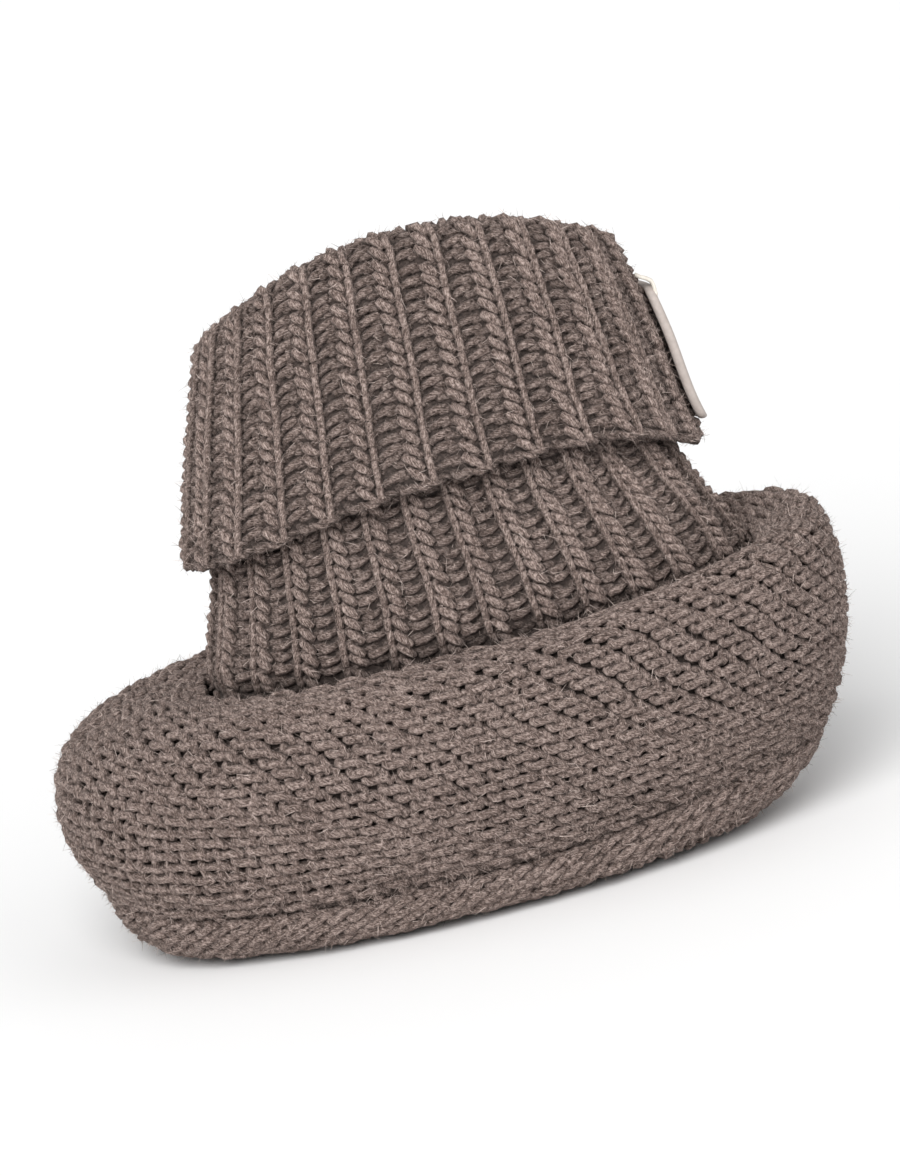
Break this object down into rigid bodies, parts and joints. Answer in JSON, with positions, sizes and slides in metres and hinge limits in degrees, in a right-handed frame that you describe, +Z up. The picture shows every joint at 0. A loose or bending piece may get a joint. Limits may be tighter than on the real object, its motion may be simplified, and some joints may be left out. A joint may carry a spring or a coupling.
{
  "type": "baby slipper",
  "caption": "Soft knitted baby slipper: a hollow seed stitch foot on a knitted sole, with a rib shaft folded over into a deep cuff and a plain leather label at the back.",
  "frame": {"origin": "on the floor under the middle of the slipper's bounding box", "axes": "-X points to the toe, +X to the heel, +Y to the side that the shaft leans to, +Z up"},
  "size_m": [0.1056, 0.0544, 0.0864],
  "materials": {
    "sole_knit": "matt, fuzzy",
    "foot_knit": "matt, fuzzy",
    "rib_knit": "matt, fuzzy",
    "label_leather": "smooth, matt"
  },
  "bodies": {
    "root": {"sole": "sole_knit", "foot_upper": "foot_knit", "rib_shaft_and_cuff": "rib_knit", "leather_label": "label_leather"}
  },
  "joints": []
}
